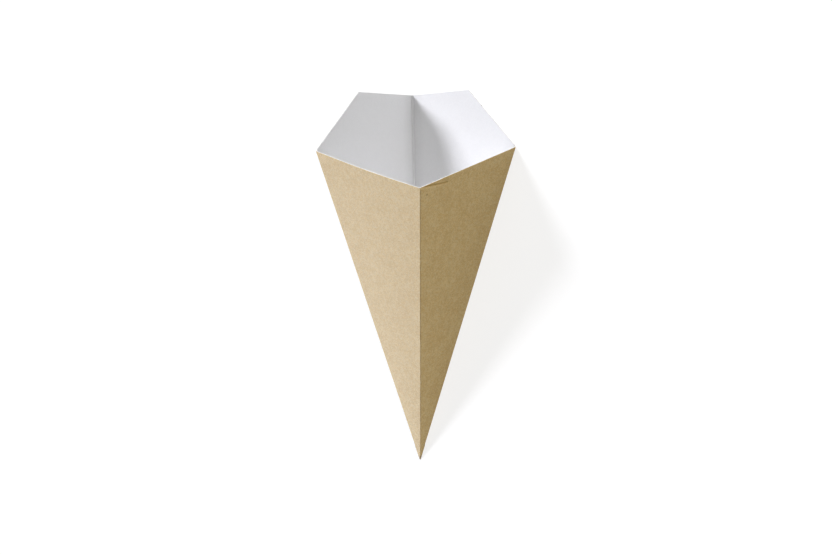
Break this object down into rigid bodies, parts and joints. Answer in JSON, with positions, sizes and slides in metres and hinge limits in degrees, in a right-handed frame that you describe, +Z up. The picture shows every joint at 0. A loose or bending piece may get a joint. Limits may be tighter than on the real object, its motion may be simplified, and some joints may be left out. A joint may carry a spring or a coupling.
{
  "type": "cone paper cup",
  "caption": "Folded kraft board cone cup with a pointed base, creased panels, a raised back and a white lining, lying on one panel.",
  "frame": {"origin": "middle of the lying cup's box, on the floor under its resting panel", "axes": "+X from the point to the mouth along the resting panel's middle line, -Y the side with the glued seam, +Z up"},
  "size_m": [0.2004, 0.0754, 0.0694],
  "materials": {
    "kraft_board": "matte"
  },
  "bodies": {
    "root": {"cone_cup": "kraft_board"}
  },
  "joints": []
}
